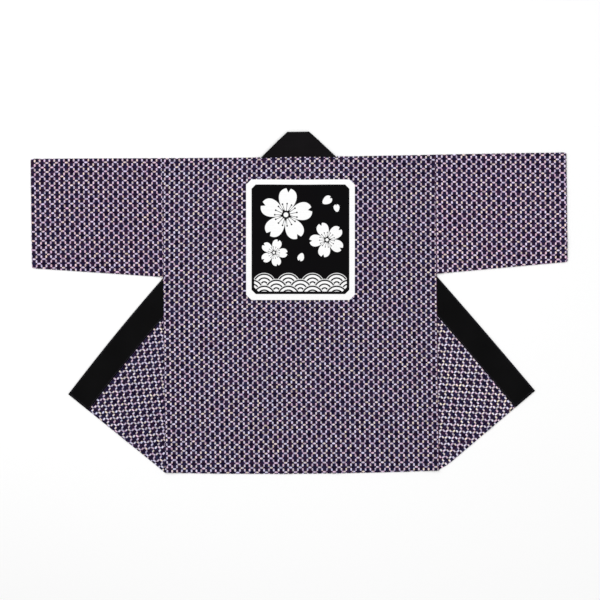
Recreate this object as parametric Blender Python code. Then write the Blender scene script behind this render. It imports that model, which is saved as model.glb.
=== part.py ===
# Happi coat laid flat with its back up. Both fronts are turned outward under the body along one
# diagonal fold each, so that their right sides and the collar band show below the sleeves.
# Metres, +Z up. +X runs across the sleeves, +Y from the hem to the collar.
#
# Each panel is cut flat as a thin slab, scored along its folds, and then laid in place by moving
# its points. Half coordinates have x measured outward from the centre back, for either side.

import math

import bmesh
import bpy
from mathutils import Vector

# The cut
REACH = 0.6646  # centre back to cuff
HALF_WIDTH = 0.3393  # centre back to side seam
SHOULDER_Y = 0.3647  # the fold over the shoulders and along the sleeves
HEM_Y = -0.4194  # the hem at the side seams
HEM_SAG = 0.0053  # how much lower the back's hem is at its middle
ARMHOLE_BASE_Y = 0.0676  # underarm
CUFF_BASE_Y = 0.0934  # lower corner of the cuff
NECK_HALF = 0.0950  # centre back to the band's seam
NECK_Y = 0.3625  # the neck seam across the back
BAND_WIDTH = 0.0640  # finished width of the collar band
COLLAR_TOP_Y = 0.4240  # free edge of the band above the neck
COLLAR_TOP_HALF = 0.0275  # half the length of that edge between the two mitres
CUFF_CORNER = 0.006  # rounding of the cuff's corners

# The cloth
CLOTH = 0.0010  # wall of the panels
BAND = 0.0020  # wall of the band, which is folded double over its seam
SEAM = 0.0003  # gap between sewn pieces, and between layers that lie on each other
LAYER = 0.0004  # gap between the front and the back

# The fold that turns each front outward: from the hem's side corner up to the collar
FOLD_ANGLE = math.radians(20.0)  # from straight up, leaning in to the neck
FOLD_UP = Vector((-math.sin(FOLD_ANGLE), math.cos(FOLD_ANGLE)))
FOLD_OUT = Vector((math.cos(FOLD_ANGLE), math.sin(FOLD_ANGLE)))
FOLD_FOOT = Vector((HALF_WIDTH, HEM_Y))
BAND_EDGE = NECK_HALF - BAND_WIDTH  # the band's free edge before it is turned over

# How far the layers above take to come down past the edge of what they lie on
FALL_OUTSIDE = 0.040  # outside the turned band
FALL_INSIDE = 0.030  # from the band down to the front's single cloth
FALL_MIDDLE = 0.060  # from the folds to the floor, between the two fronts
FALL_NECK = 0.024  # beside the band's neck stretch
SOFT_CENTRE = 0.012  # rounds the change of side at the centre back

HALF_FOLD = 0.0015  # half the cloth taken up by a fold that turns it right over
BEND_STEPS = 6
TURN_UNDER = 0.0015  # what lies under past a shoulder or mitre fold
FOLD_NOTCH = 0.001  # clears the band's thicker fold from the front's, where they meet
TAIL_SHORT = 0.008  # the turned band ends this much before the mitre
SAG_DEPTH = 0.12  # how far above the hem its sag fades out
FALL_STEPS = 4  # scored lines in the wider of the falls above
SHORT_FALL_STEPS = 3
SHARP_ANGLE = math.radians(50)  # edges sharper than this are shaded as corners

# Where the flat pieces are scored across and along, so that they follow what they lie on
PANEL_ROWS = (-0.28, -0.19, -0.10, -0.01, 0.08, 0.15, 0.21, 0.26, 0.31, 0.34)
PANEL_COLUMNS = (0.15, 0.19, 0.24, 0.29)
BACK_COLUMNS = (0.02, 0.05, 0.075)
HEM_ROWS = (-0.37,)
BAND_ROWS = (-0.3, -0.15, 0.0, 0.15, 0.24)
BAND_TOP_ROWS = (0.29, 0.32, 0.35, 0.375, 0.395)
BAND_COLUMNS = (0.05, 0.065, 0.08)
NECK_ROWS = (0.375, 0.39, 0.407)
NECK_COLUMNS = (0.0, 0.015, 0.03, 0.045, 0.06, 0.075)

# The sleeve's sections: distance out from the armhole, and rows up from its lower seam
SLEEVE_STATIONS = (0.006, 0.013, 0.021, 0.031, 0.041, 0.051, 0.10, 0.16, 0.22, 0.28)
SLEEVE_ROWS = (0.0, 0.008, 0.016, 0.026, 0.038, 0.05, 0.065, 0.11, 0.16, 0.21)
CORNER_SHARES = (1.0, 0.5, 0.17, 0.0)  # sections through the cuff's rounded corner
CORNER_DEPTH = 0.6  # its depth, as a share of its length

COLOURS = {
    "cotton": (0.13, 0.11, 0.17),
    "band": (0.012, 0.012, 0.014),
}
ROUGHNESS = {"cotton": 0.85, "band": 0.8}


def ease(value):
    value = min(max(value, 0.0), 1.0)
    return value * value * (3 - 2 * value)


def spaced(first, last, steps):
    return [first + (last - first) * k / steps for k in range(steps + 1)]


def fold_distance(x, y):
    """Distance outward from the fold line, and distance along it from the hem."""
    offset = Vector((x, y)) - FOLD_FOOT
    return offset.dot(FOLD_OUT), offset.dot(FOLD_UP)


def fold_meets(point, along):
    """How far up the fold a line through a point crosses it."""
    offset = point - FOLD_FOOT
    steps = -offset.dot(FOLD_OUT) / along.dot(FOLD_OUT)
    return (offset + steps * along).dot(FOLD_UP)


def on_upper_side(x, y):
    return fold_distance(x, y)[0] > 0


def in_fold(x, y):
    return abs(fold_distance(x, y)[0]) < HALF_FOLD


def turned_x(x, y):
    """Where a point would be across the front if the front were turned back in."""
    return x - 2 * fold_distance(x, y)[0] * FOLD_OUT.x


def front_height(x, y):
    """Height of the underside of the cloth that lies on the turned front."""
    across = turned_x(x, y)
    on_band = ease((NECK_HALF + FALL_INSIDE - across) / FALL_INSIDE)
    below = CLOTH + (BAND - CLOTH) * on_band
    return (below + SEAM) * ease((across - BAND_EDGE + FALL_OUTSIDE) / FALL_OUTSIDE)


def back_height(x, y):
    """Height of the underside of the back and of the collar's neck stretch."""
    x = math.hypot(x, SOFT_CENTRE)
    on_front = ease((fold_distance(x, y)[0] + FALL_MIDDLE) / FALL_MIDDLE)
    on_band = ease((NECK_HALF + FALL_NECK - x) / FALL_NECK)
    front = CLOTH + (BAND - CLOTH) * on_band
    return (front_height(x, y) + front + LAYER) * on_front


def material(name):
    made = bpy.data.materials.get(name)
    if made:
        return made
    made = bpy.data.materials.new(name)
    made.use_nodes = True
    shader = made.node_tree.nodes["Principled BSDF"]
    shader.inputs["Base Color"].default_value = (*COLOURS[name], 1.0)
    shader.inputs["Roughness"].default_value = ROUGHNESS[name]
    shader.inputs["Metallic"].default_value = 0.0
    return made


def finish(bm, name, finish_name):
    bmesh.ops.recalc_face_normals(bm, faces=bm.faces[:])
    mesh = bpy.data.meshes.new(name)
    bm.to_mesh(mesh)
    bm.free()
    mesh.shade_smooth()
    mesh.set_sharp_from_angle(angle=SHARP_ANGLE)
    mesh.materials.append(material(finish_name))
    made = bpy.data.objects.new(name, mesh)
    bpy.context.scene.collection.objects.link(made)
    return made


def score(bm, point, normal, within=None):
    """Cuts the flat panel's faces along a line, only those whose middle passes the test."""
    faces = [f for f in bm.faces if within is None or within(*f.calc_center_median().xy)]
    parts = set(faces)
    for face in faces:
        parts.update(face.edges)
        parts.update(face.verts)
    bmesh.ops.bisect_plane(
        bm,
        geom=list(parts),
        dist=1e-6,
        plane_co=(point[0], point[1], 0),
        plane_no=(normal[0], normal[1], 0),
    )


def flat_panel(left, right, low, high):
    bm = bmesh.new()
    corners = ((left, low), (right, low), (right, high), (left, high))
    bm.faces.new([bm.verts.new((x, y, 0)) for x, y in corners])
    return bm


def cut_away(bm, outside):
    """Removes the faces whose middle is outside the panel's outline."""
    waste = [f for f in bm.faces if outside(*f.calc_center_median().xy)]
    bmesh.ops.delete(bm, geom=waste, context="FACES")


def make_up(bm, thickness, lay, name, finish_name):
    """Gives the flat panel its wall, then lays every point in place."""
    bmesh.ops.triangulate(bm, faces=bm.faces[:])
    raised = bmesh.ops.extrude_face_region(bm, geom=bm.faces[:], use_keep_orig=True)
    top = {v for v in raised["geom"] if isinstance(v, bmesh.types.BMVert)}
    for vert in bm.verts:
        height = thickness / 2 if vert in top else -thickness / 2
        vert.co = lay(vert.co.x, vert.co.y, height)
    return finish(bm, name, finish_name)


def score_lines(bm, rows=(), columns=(), within=None):
    for y in rows:
        score(bm, (0, y), (0, 1), within)
    for x in columns:
        score(bm, (x, 0), (1, 0), within)


def score_beside_band(bm, side, within):
    """Scores along the turned band, where the cloth on it comes down on either hand."""
    normal = (side * math.cos(2 * FOLD_ANGLE), math.sin(2 * FOLD_ANGLE))
    distances = spaced(BAND_EDGE, BAND_EDGE - FALL_OUTSIDE, FALL_STEPS)
    distances += spaced(NECK_HALF, NECK_HALF + FALL_INSIDE, SHORT_FALL_STEPS)
    for across in distances:
        out = fold_distance(across, HEM_Y)[0]
        point = Vector((across, HEM_Y)) - 2 * out * FOLD_OUT
        score(bm, (side * point.x, point.y), normal, within)


def score_beside_fold(bm, within):
    """Scores both halves of the back where it comes down from the folds and the turned bands."""
    for side in (-1, 1):
        def on_side(x, y, side=side):
            return x * side > 0 and within(x, y)

        for out in spaced(-FALL_MIDDLE, 0.0, FALL_STEPS):
            point = FOLD_FOOT + out * FOLD_OUT
            score(bm, (side * point.x, point.y), (side * FOLD_OUT.x, FOLD_OUT.y), on_side)
        score_beside_band(bm, side, on_side)


def make_back():
    edge = HALF_WIDTH - SEAM / 2
    neck = NECK_HALF + SEAM / 2
    neck_edge = NECK_Y - SEAM
    reach = (CLOTH + LAYER) / 2
    bend_start = SHOULDER_Y - CLOTH / 2 - reach
    bend_end = bend_start + 2 * HALF_FOLD
    bm = flat_panel(-edge, edge, HEM_Y, bend_end + TURN_UNDER)
    score_lines(bm, columns=(0,))
    score_lines(bm, rows=spaced(bend_start, bend_end, BEND_STEPS))
    score_beside_fold(bm, lambda x, y: y < bend_start)
    beside_neck = spaced(neck, NECK_HALF + FALL_NECK, SHORT_FALL_STEPS)
    columns = [*beside_neck, *BACK_COLUMNS, *PANEL_COLUMNS]
    score_lines(bm, rows=[neck_edge, *HEM_ROWS, *PANEL_ROWS])
    score_lines(bm, columns=[side * x for x in columns for side in (1, -1)])
    cut_away(bm, lambda x, y: abs(x) < neck and y > neck_edge)

    def lay(x, v, height):
        y = min(v, bend_start)
        middle = back_height(x, min(y, NECK_Y) if abs(x) < neck else y) + CLOTH / 2
        if v <= bend_start:
            sag = HEM_SAG * (1 - (x / edge) ** 2) * ease((HEM_Y + SAG_DEPTH - v) / SAG_DEPTH)
            return Vector((x, y - sag, middle + height))
        turn = min((v - bend_start) / (2 * HALF_FOLD), 1.0) * math.pi
        front_middle = front_height(abs(x), bend_start) + CLOTH / 2
        radius = (middle - front_middle) / 2
        out = (reach + height) * math.sin(turn) - max(v - bend_end, 0.0)
        z = front_middle + radius + (radius + height) * math.cos(turn)
        return Vector((x, bend_start + out, z))

    return make_up(bm, CLOTH, lay, "back", "cotton")


def lay_front(side, thickness):
    """Lays a point of the front or band, given in half coordinates before it is turned."""
    def lay(x, y, height):
        out, along = fold_distance(x, y)
        if out >= HALF_FOLD:
            z = front_height(x, y) + thickness / 2 - height
            return Vector((side * x, y, z))
        at_fold = FOLD_FOOT + along * FOLD_UP + HALF_FOLD * FOLD_OUT
        radius = front_height(at_fold.x, at_fold.y) / 2
        turn = min((HALF_FOLD - out) / (2 * HALF_FOLD), 1.0) * math.pi
        reach = max(HALF_FOLD, -out) + (height - radius) * math.sin(turn)
        point = FOLD_FOOT + along * FOLD_UP + reach * FOLD_OUT
        z = thickness / 2 + radius + (radius - height) * math.cos(turn)
        return Vector((side * point.x, point.y, z))

    return lay


def score_fold(bm):
    for out in spaced(HALF_FOLD, -HALF_FOLD, BEND_STEPS):
        score(bm, FOLD_FOOT + out * FOLD_OUT, FOLD_OUT)


def make_front(side, name):
    under_shoulder = SHOULDER_Y - CLOTH - LAYER / 2 - CLOTH / 2 - TURN_UNDER - SEAM
    bm = flat_panel(NECK_HALF + SEAM / 2, HALF_WIDTH - SEAM / 2, HEM_Y, under_shoulder)
    score_fold(bm)
    score_beside_band(bm, 1, on_upper_side)
    score_lines(bm, PANEL_ROWS, PANEL_COLUMNS, on_upper_side)
    return make_up(bm, CLOTH, lay_front(side, CLOTH), name, "cotton")


def mitre(side):
    """The collar's slanted side: its lower end, its direction upward, and its inward normal."""
    foot = Vector((side * (NECK_HALF - SEAM / 2), NECK_Y))
    along = (Vector((side * COLLAR_TOP_HALF, COLLAR_TOP_Y)) - foot).normalized()
    return foot, along, Vector((-side * along.y, side * along.x))


def mitre_reach():
    """From the slanted side in to where the band's bend starts."""
    return BAND / 2 + (BAND + LAYER) / 2


def make_collar_side(side, name):
    foot, along, inward = mitre(1)
    bm = flat_panel(BAND_EDGE, NECK_HALF - SEAM / 2, HEM_Y, COLLAR_TOP_Y)
    score_fold(bm)
    top = foot + inward * (mitre_reach() + TURN_UNDER + SEAM)
    score(bm, top, inward)
    cut_away(bm, lambda x, y: (Vector((x, y)) - top).dot(inward) < 0)
    tail = fold_meets(top, along) - TAIL_SHORT
    score(bm, FOLD_FOOT + FOLD_UP * tail, FOLD_UP)
    cut_away(bm, lambda x, y: fold_distance(x, y)[0] < HALF_FOLD and fold_distance(x, y)[1] > tail)
    seam_in_fold = Vector((NECK_HALF, 0)) - HALF_FOLD * FOLD_OUT
    notch = fold_meets(seam_in_fold, Vector((0, 1))) + FOLD_NOTCH
    score(bm, FOLD_FOOT + notch * FOLD_UP, FOLD_UP, in_fold)
    cut_away(bm, lambda x, y: in_fold(x, y) and fold_distance(x, y)[1] < notch)
    score_lines(bm, BAND_TOP_ROWS, BAND_COLUMNS, on_upper_side)
    score_lines(bm, BAND_ROWS)
    return make_up(bm, BAND, lay_front(side, BAND), name, "band")


def make_collar_neck():
    bend = 2 * HALF_FOLD
    reach = mitre_reach()
    half = NECK_HALF + bend + TURN_UNDER
    bm = flat_panel(-half, half, NECK_Y, COLLAR_TOP_Y)
    for side in (-1, 1):
        foot, along, inner = mitre(side)
        start = foot + inner * reach
        end = start - inner * (bend + TURN_UNDER)

        def past(x, y, line=start, inner=inner):
            return (Vector((x, y)) - line).dot(inner) < 0

        for taken in spaced(0.0, bend, BEND_STEPS):
            score(bm, start - inner * taken, inner)
        score(bm, end, inner)
        cut_away(bm, lambda x, y: past(x, y, end))
        corner = start + along * (NECK_Y - start.y) / along.y
        score(bm, corner, along, past)
        cut_away(bm, lambda x, y: past(x, y) and (Vector((x, y)) - corner).dot(along) < 0)
    score_lines(bm, NECK_ROWS, [side * x for x in NECK_COLUMNS for side in (1, -1)])

    def lay(x, y, height):
        foot, along, inner = mitre(-1 if x < 0 else 1)
        flat = Vector((x, y))
        past = (foot + inner * reach - flat).dot(inner)
        if past <= 0:
            return Vector((x, y, back_height(x, y) + BAND / 2 + height))
        at_start = flat + inner * past
        top = back_height(at_start.x, at_start.y) + BAND / 2
        low = front_height(abs(at_start.x), at_start.y) + BAND / 2
        radius = (top - low) / 2
        turn = min(past / bend, 1.0) * math.pi
        out = (reach - BAND / 2 + height) * math.sin(turn) - max(past - bend, 0.0)
        point = at_start - inner * out
        return Vector((point.x, point.y, low + radius + (radius + height) * math.cos(turn)))

    return make_up(bm, BAND, lay, "collar_neck", "band")


def sleeve_ring(x, inset):
    """One section round the sleeve in half coordinates, as a loop of points."""
    corner = max(0.0, 1 - (REACH - x) / CUFF_CORNER)
    taken = CUFF_CORNER * CORNER_DEPTH * (1 - math.sqrt(1 - corner * corner))
    share = (x - HALF_WIDTH) / (REACH - HALF_WIDTH)
    radius = CLOTH + LAYER / 2
    seam_y = ARMHOLE_BASE_Y + share * (CUFF_BASE_Y - ARMHOLE_BASE_Y) + taken + radius
    fold_y = SHOULDER_Y - taken - radius
    levels = [seam_y + up for up in SLEEVE_ROWS] + [fold_y]
    turns = spaced(0.0, math.pi, BEND_STEPS)[1:-1]
    wall = radius - inset
    ring = [(x, y, front_height(x, y) + inset) for y in levels]
    for turn in turns:
        z = front_height(x, fold_y) + radius - wall * math.cos(turn)
        ring.append((x, fold_y + wall * math.sin(turn), z))
    ring += [(x, y, front_height(x, y) + radius + wall) for y in reversed(levels)]
    for turn in turns:
        z = front_height(x, seam_y) + radius + wall * math.cos(turn)
        ring.append((x, seam_y - wall * math.sin(turn), z))
    return ring


def make_sleeve(side, name):
    stations = [HALF_WIDTH + SEAM / 2] + [HALF_WIDTH + out for out in SLEEVE_STATIONS]
    stations += [REACH - CUFF_CORNER * share for share in CORNER_SHARES]
    bm = bmesh.new()
    outer, inner = [
        [[bm.verts.new((side * x, y, z)) for x, y, z in sleeve_ring(at, inset)] for at in stations]
        for inset in (0.0, CLOTH)
    ]
    strips = list(zip(outer, outer[1:])) + list(zip(inner, inner[1:]))
    strips += [(outer[0], inner[0]), (outer[-1], inner[-1])]
    for one, two in strips:
        for k, corner in enumerate(one):
            bm.faces.new((corner, one[k - 1], two[k - 1], two[k]))
    bmesh.ops.triangulate(bm, faces=bm.faces[:])
    return finish(bm, name, "cotton")


def clear_scene():
    for old in list(bpy.data.objects):
        bpy.data.objects.remove(old, do_unlink=True)


def build():
    clear_scene()
    make_back()
    make_collar_neck()
    for side, hand in ((-1, "left"), (1, "right")):
        make_front(side, "front_" + hand)
        make_sleeve(side, "sleeve_" + hand)
        make_collar_side(side, "collar_" + hand)


build()
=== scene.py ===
# Finish and light for a happi coat that lies flat, back up, with both fronts turned outward.
# Every piece is cut flat, in metres, and then laid in place: its flat place, moved by as much as
# the cloth was pulled, is also its UV map, so the print and the weave follow the cloth.

import functools
import math

import bmesh
import bpy
from mathutils import Matrix, Vector


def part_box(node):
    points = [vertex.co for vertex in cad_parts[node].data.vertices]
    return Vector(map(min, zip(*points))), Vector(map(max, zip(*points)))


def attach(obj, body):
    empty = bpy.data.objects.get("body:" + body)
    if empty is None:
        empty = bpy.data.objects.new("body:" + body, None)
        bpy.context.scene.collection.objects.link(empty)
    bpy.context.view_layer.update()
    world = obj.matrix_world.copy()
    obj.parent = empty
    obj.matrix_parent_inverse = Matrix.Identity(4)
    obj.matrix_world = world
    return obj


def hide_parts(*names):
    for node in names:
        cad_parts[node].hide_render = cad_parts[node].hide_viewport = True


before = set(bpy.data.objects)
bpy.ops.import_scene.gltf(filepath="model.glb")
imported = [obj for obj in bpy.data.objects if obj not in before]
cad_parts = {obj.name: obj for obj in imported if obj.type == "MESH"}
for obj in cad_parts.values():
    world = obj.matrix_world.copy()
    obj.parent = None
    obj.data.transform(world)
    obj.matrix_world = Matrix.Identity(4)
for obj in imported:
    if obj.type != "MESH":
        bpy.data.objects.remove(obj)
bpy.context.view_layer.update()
seam = 0.0003  # gap between the solids of two pieces that are sewn together
slack = 0.0001  # gap between their cloth
touching = 1e-5  # points closer than this are one

coat = {
    "reach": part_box("sleeve_right")[1][0],
    "halfWidth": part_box("back")[1][0] + seam / 2,
    "shoulderY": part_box("back")[1][1],
    "hemY": -0.4194,  # at the side seams
    "hemSag": 0.0053,  # how much lower the hem is at the middle
    "hemSkew": 0.0013,  # how much lower it is at its right end, and higher at its left one
    "sagDepth": 0.12,  # how far above the hem it begins to sag
    "underarmY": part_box("sleeve_right")[0][1],
    "cuffLowY": 0.0934,
    "neckHalf": 0.0950,
    "neckY": 0.3625,
    "bandWidth": 0.0640,
    "collarTopY": 0.4240,
    "collarTopHalf": 0.0275,
    "backLength": 0.787,
    "bandLength": 0.826,  # from the hem to the mitre
    "neckArea": 0.0090,
    "cuffCorner": 0.006,
    "cornerDepth": 0.6,
    "cornerSteps": (1.0, 0.6, 0.3, 0.12, 0.04),
    "cell": 0.007,  # size of the cloth's faces
    "bandCell": 0.0055,
    "neckCell": 0.004,
}

layers = {
    "cloth": 0.0010,
    "band": 0.0020,  # folded double over its seam
    "gap": 0.0004,  # between the front and the back
    "fallOutside": 0.040,  # how far the cloth above takes to come down, outside the turned band
    "fallInside": 0.030,
    "fallMiddle": 0.060,
    "fallNeck": 0.024,
    "softCentre": 0.012,
    "halfFold": 0.0015,  # half the cloth that a fold takes up
    "bendSteps": 6,
    "quarterSteps": 3,
    "settle": 0.030,  # how far from a folded edge the ridges begin
    "turnUnder": 0.0015,
    "tailShort": 0.008,  # the turned band ends this much before the mitre
    "foldNotch": 0.001,
    "rim": 0.00035,  # rounding of the cut edges
    "rimAngle": math.radians(60),
    "thinAtEdge": 0.22,  # share of its thickness that the band loses at its edges
}

# The fold that turns each front outward, from the hem's side corner up to the collar
foldAngle = math.radians(20)
foldUp = Vector((-math.sin(foldAngle), math.cos(foldAngle)))
foldOut = Vector((math.cos(foldAngle), math.sin(foldAngle)))
foldFoot = Vector((coat["halfWidth"], coat["hemY"]))
bandEdge = coat["neckHalf"] - coat["bandWidth"]

# Beside the neck the whole coat was pulled a little down, but less under the collar
neckDrop = {
    "deep": 0.0040,
    "middle": (-0.03, 0.32),
    "reach": (0.65, 0.16),
    "held": 0.8,  # share of it that the collar took away at the middle
    "collarReach": 0.12,
}

# Each turned front was pulled a little further out by hand, its centre edge in a soft bow
pulls = {
    "left": {"centre": 0.0063, "hemAtFold": -0.0006, "hemAtTip": 0.0012},
    "right": {"centre": 0.0022, "hemAtFold": 0.0042, "hemAtTip": 0.0064},
    "bowMiddle": 0.20,  # above the hem
    "bowReach": 0.34,
    "fromFold": 0.15,  # how far from the fold the bow is whole
    "hemFromFold": 0.03,
    "hemReach": 0.25,
}

# Soft ridges that were left when the coat was laid out: start, end, half width and height. On the
# upper side the back's come first, then the sleeves'.
topCreases = (
    ((-0.335, 0.110), (-0.215, 0.045), 0.028, 0.0011),
    ((-0.325, 0.190), (-0.240, 0.160), 0.022, 0.0007),
    ((0.338, 0.095), (0.190, 0.030), 0.032, 0.0012),
    ((0.330, 0.225), (0.250, 0.215), 0.020, 0.0006),
    ((-0.060, -0.060), (-0.150, -0.230), 0.040, 0.0008),
    ((0.120, -0.120), (0.165, -0.330), 0.036, 0.0009),
    ((-0.230, -0.120), (-0.255, -0.300), 0.030, 0.0007),
    ((-0.210, -0.405), (-0.195, -0.350), 0.026, 0.0012),
    ((-0.045, -0.425), (-0.060, -0.345), 0.030, 0.0010),
    ((0.085, -0.425), (0.075, -0.370), 0.024, 0.0013),
    ((0.255, -0.418), (0.245, -0.340), 0.028, 0.0009),
    ((0.010, -0.010), (0.030, -0.120), 0.045, 0.0006),
    ((-0.345, 0.100), (-0.470, 0.160), 0.030, 0.0012),
    ((-0.350, 0.260), (-0.430, 0.255), 0.022, 0.0006),
    ((-0.662, 0.170), (-0.600, 0.190), 0.026, 0.0012),
    ((-0.662, 0.300), (-0.580, 0.270), 0.030, 0.0010),
    ((-0.500, 0.330), (-0.530, 0.230), 0.034, 0.0006),
    ((0.345, 0.092), (0.450, 0.130), 0.032, 0.0011),
    ((0.350, 0.180), (0.455, 0.235), 0.026, 0.0008),
    ((0.662, 0.140), (0.590, 0.150), 0.028, 0.0013),
    ((0.662, 0.265), (0.615, 0.255), 0.022, 0.0009),
    ((0.480, 0.340), (0.545, 0.260), 0.036, 0.0007),
)
frontCreases = (
    ((-0.420, -0.120), (-0.500, -0.200), 0.026, 0.0009),
    ((-0.400, -0.300), (-0.450, -0.350), 0.022, 0.0008),
    ((-0.385, -0.230), (-0.440, -0.280), 0.024, 0.0006),
    ((0.425, -0.090), (0.500, -0.170), 0.028, 0.0008),
    ((0.395, -0.250), (0.470, -0.320), 0.024, 0.0010),
)


def ease(value):
    value = min(max(value, 0.0), 1.0)
    return value * value * (3 - 2 * value)


def hump(away):  # from 1 in the middle softly down to 0 where it ends
    return max(0.0, 1 - away * away) ** 2


def spaced(first, last, steps):
    return [first + (last - first) * k / steps for k in range(steps + 1)]


def liftAt(creases, x, y):
    lift = 0.0
    for (startX, startY), (endX, endY), width, height in creases:
        alongX, alongY, outX, outY = endX - startX, endY - startY, x - startX, y - startY
        share = (outX * alongX + outY * alongY) / (alongX * alongX + alongY * alongY)
        share = min(max(share, 0.0), 1.0)
        away = math.hypot(outX - share * alongX, outY - share * alongY) / width
        lift += height * hump(away)
    return lift


def dropAt(x, y):  # how far the cloth was pulled down there
    awayX = (x - neckDrop["middle"][0]) / neckDrop["reach"][0]
    awayY = (y - neckDrop["middle"][1]) / neckDrop["reach"][1]
    held = neckDrop["held"] * hump(x / neckDrop["collarReach"])
    return neckDrop["deep"] * hump(awayX) * hump(awayY) * (1 - held)


def dropped(point):
    return point - Vector((0, dropAt(point.x, point.y), 0))


def foldDistance(x, y):
    offset = Vector((x, y)) - foldFoot
    return offset.dot(foldOut), offset.dot(foldUp)


def turnedX(x, y):  # across the front, if it were turned back in
    return x - 2 * foldDistance(x, y)[0] * foldOut.x


def overBand(x, fall):  # how much thicker the band is than the cloth, down to 0 beside it
    return (layers["band"] - layers["cloth"]) * ease((coat["neckHalf"] + fall - x) / fall)


def frontHeight(x, y):  # underside of what lies on the turned front
    across = turnedX(x, y)
    thicker = overBand(across, layers["fallInside"])
    rise = ease((across - bandEdge + layers["fallOutside"]) / layers["fallOutside"])
    return (layers["cloth"] + thicker + seam) * rise


def backHeight(x, y):  # underside of the back and of the collar's neck stretch
    x = math.hypot(x, layers["softCentre"])
    rise = ease((foldDistance(x, y)[0] + layers["fallMiddle"]) / layers["fallMiddle"])
    thicker = overBand(x, layers["fallNeck"])
    return (frontHeight(x, y) + layers["cloth"] + thicker + layers["gap"]) * rise


def pulled(side, x, y):  # where a point of the flat front lies once its turned part is pulled
    pull = pulls["left" if side < 0 else "right"]
    fromFold, fromHem = max(0.0, -foldDistance(x, y)[0]), y - coat["hemY"]
    away = (fromHem - pulls["bowMiddle"]) / pulls["bowReach"]
    centre = pull["centre"] * hump(away) * ease(fromFold / pulls["fromFold"])
    toTip = fromFold / ((coat["halfWidth"] - bandEdge) * foldOut.x)
    hem = pull["hemAtFold"] + toTip * (pull["hemAtTip"] - pull["hemAtFold"])
    hem *= ease(fromFold / pulls["hemFromFold"]) * ease(1 - fromHem / pulls["hemReach"])
    return x - centre, y - hem


def foldMeets(point, along):
    offset = point - foldFoot
    steps = -offset.dot(foldOut) / along.dot(foldOut)
    return (offset + steps * along).dot(foldUp)


def flatCloth(left, right, low, high, cell=coat["cell"]):
    bm = bmesh.new()
    across = max(2, round((right - left) / cell))
    up = max(2, round((high - low) / cell))
    bmesh.ops.create_grid(bm, x_segments=across, y_segments=up, size=0.5)
    bmesh.ops.scale(bm, vec=(right - left, high - low, 1), verts=bm.verts)
    middle = ((left + right) / 2, (low + high) / 2, 0)
    bmesh.ops.translate(bm, vec=middle, verts=bm.verts)
    return bm


def crease(bm, point, normal, within=None):
    faces = [f for f in bm.faces if within is None or within(*f.calc_center_median().xy)]
    parts = set(faces)
    for face in faces:
        parts.update(face.edges)
        parts.update(face.verts)
    plane = {"plane_co": (*point, 0), "plane_no": (*normal, 0)}
    bmesh.ops.bisect_plane(bm, geom=list(parts), dist=touching, **plane)


def trim(bm, outside):
    waste = [f for f in bm.faces if outside(*f.calc_center_median().xy)]
    bmesh.ops.delete(bm, geom=waste, context="FACES")


def toMesh(bm, name):
    mesh = bpy.data.meshes.new(name)
    bm.to_mesh(mesh)
    bm.free()
    return mesh


def show(name, data):
    made = bpy.data.objects.new(name, data)
    bpy.context.scene.collection.objects.link(made)
    return made


# Gives the flat cloth its thickness, lays each of its points and rounds its edges
def makeUp(bm, name, thickness, lay, materials, uvAt=None, closeTube=None):
    under = bm.faces[:]
    top = bmesh.ops.extrude_face_region(bm, geom=under, use_keep_orig=True)["geom"]
    for face in under:
        face.material_index = len(materials) - 1
    topVerts = {v for v in top if isinstance(v, bmesh.types.BMVert)}
    flatUv = bm.loops.layers.uv.new("flatCloth")
    for face in bm.faces:
        for loop in face.loops:
            x, y = loop.vert.co.xy
            loop[flatUv].uv = uvAt(x, y) if uvAt else (x, y)
    rims = [f for f in bm.faces if len({v in topVerts for v in f.verts}) == 2]
    if closeTube:
        sides = [f for f in rims if all(closeTube(*v.co.xy) for v in f.verts)]
        bmesh.ops.delete(bm, geom=sides, context="FACES")
    for vert in bm.verts:
        height = thickness / 2 if vert in topVerts else -thickness / 2
        vert.co = dropped(lay(vert.co.x, vert.co.y, height))
    if closeTube:
        bmesh.ops.remove_doubles(bm, verts=bm.verts, dist=touching)
    bmesh.ops.recalc_face_normals(bm, faces=bm.faces)
    corners = [
        e for e in bm.edges
        if len(e.link_faces) == 2 and e.calc_face_angle() > layers["rimAngle"]
    ]
    bmesh.ops.bevel(
        bm, geom=corners, offset=layers["rim"], offset_type="OFFSET", segments=2, profile=0.5,
        affect="EDGES", material=-1, clamp_overlap=True,
    )
    mesh = toMesh(bm, name)
    mesh.shade_smooth()
    for material in materials:
        mesh.materials.append(material)
    return show(name, mesh)


def feed(tree, socket, value):  # a link or a plain value
    if isinstance(value, bpy.types.NodeSocket):
        tree.links.new(value, socket)
    else:
        socket.default_value = value


def feedAll(tree, sockets, values):
    for label, value in values.items():
        feed(tree, sockets[label], value)


def calc(tree, operation, *values):
    node = tree.nodes.new("ShaderNodeMath")
    node.operation = operation
    for socket, value in zip(node.inputs, values):
        feed(tree, socket, value)
    return node.outputs[0]


def distance(tree, x, y):
    squares = [calc(tree, "MULTIPLY", value, value) for value in (x, y)]
    return calc(tree, "SQRT", calc(tree, "ADD", *squares))


def below(tree, value, limit, soft):  # 1 where the value is under the limit
    node = tree.nodes.new("ShaderNodeMapRange")
    node.interpolation_type = "SMOOTHSTEP"
    low = calc(tree, "SUBTRACT", limit, soft)
    high = calc(tree, "ADD", limit, soft)
    ends = {"From Min": low, "From Max": high, "To Min": 1.0, "To Max": 0.0}
    feedAll(tree, node.inputs, {"Value": value, **ends})
    return node.outputs["Result"]


def blendColour(tree, share, first, second):
    node = tree.nodes.new("ShaderNodeMix")
    node.data_type = "RGBA"
    feed(tree, node.inputs["Factor"], share)
    for name, given in (("A", first), ("B", second)):
        socket = next(i for i in node.inputs if i.name == name and i.type == "RGBA")
        feed(tree, socket, given)
    return next(o for o in node.outputs if o.type == "RGBA")


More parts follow.
